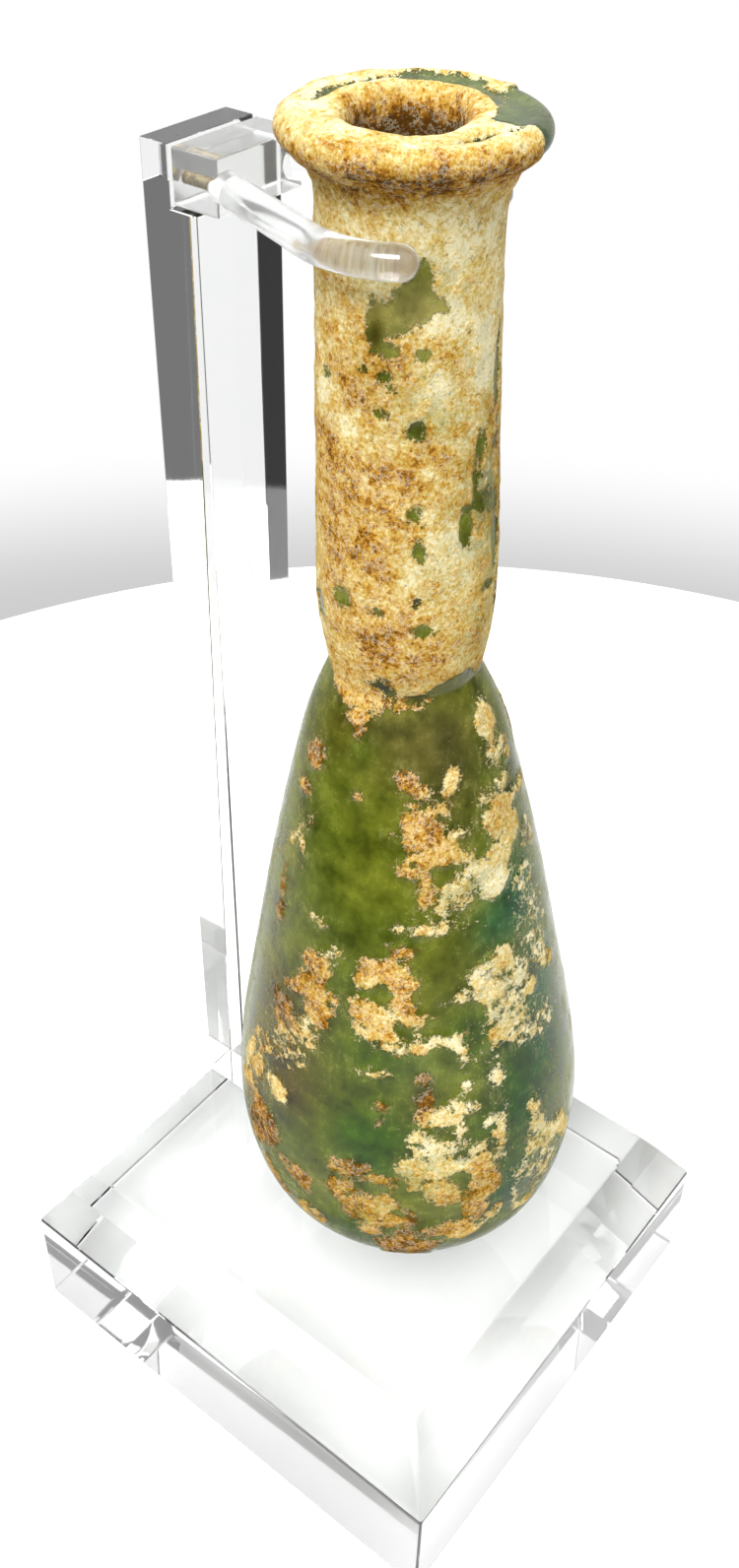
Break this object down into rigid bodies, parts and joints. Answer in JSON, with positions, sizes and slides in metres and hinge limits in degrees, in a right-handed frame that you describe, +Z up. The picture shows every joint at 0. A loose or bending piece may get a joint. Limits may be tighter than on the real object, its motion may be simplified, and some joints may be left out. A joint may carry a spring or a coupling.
{
  "type": "ancient glass bottle on a clear stand",
  "caption": "Tall blown-glass bottle with a pear-shaped body, long pinched neck and wide folded rim, held upright by the claw of a clear acrylic stand.",
  "frame": {"origin": "centre of the stand's underside, which is also the bottom centre of the whole object's box", "axes": "+Z up, +Y towards the stand's upright, X along the upright's wide face"},
  "size_m": [0.06, 0.062, 0.1534],
  "materials": {
    "weathered_glass": "glossy green glass under patchy cream and ochre weathering crust",
    "clear_acrylic": "clear, polished"
  },
  "bodies": {
    "root": {"bottle": "weathered_glass", "stand_base": "clear_acrylic", "stand_upright": "clear_acrylic", "stand_claw": "clear_acrylic"}
  },
  "joints": []
}
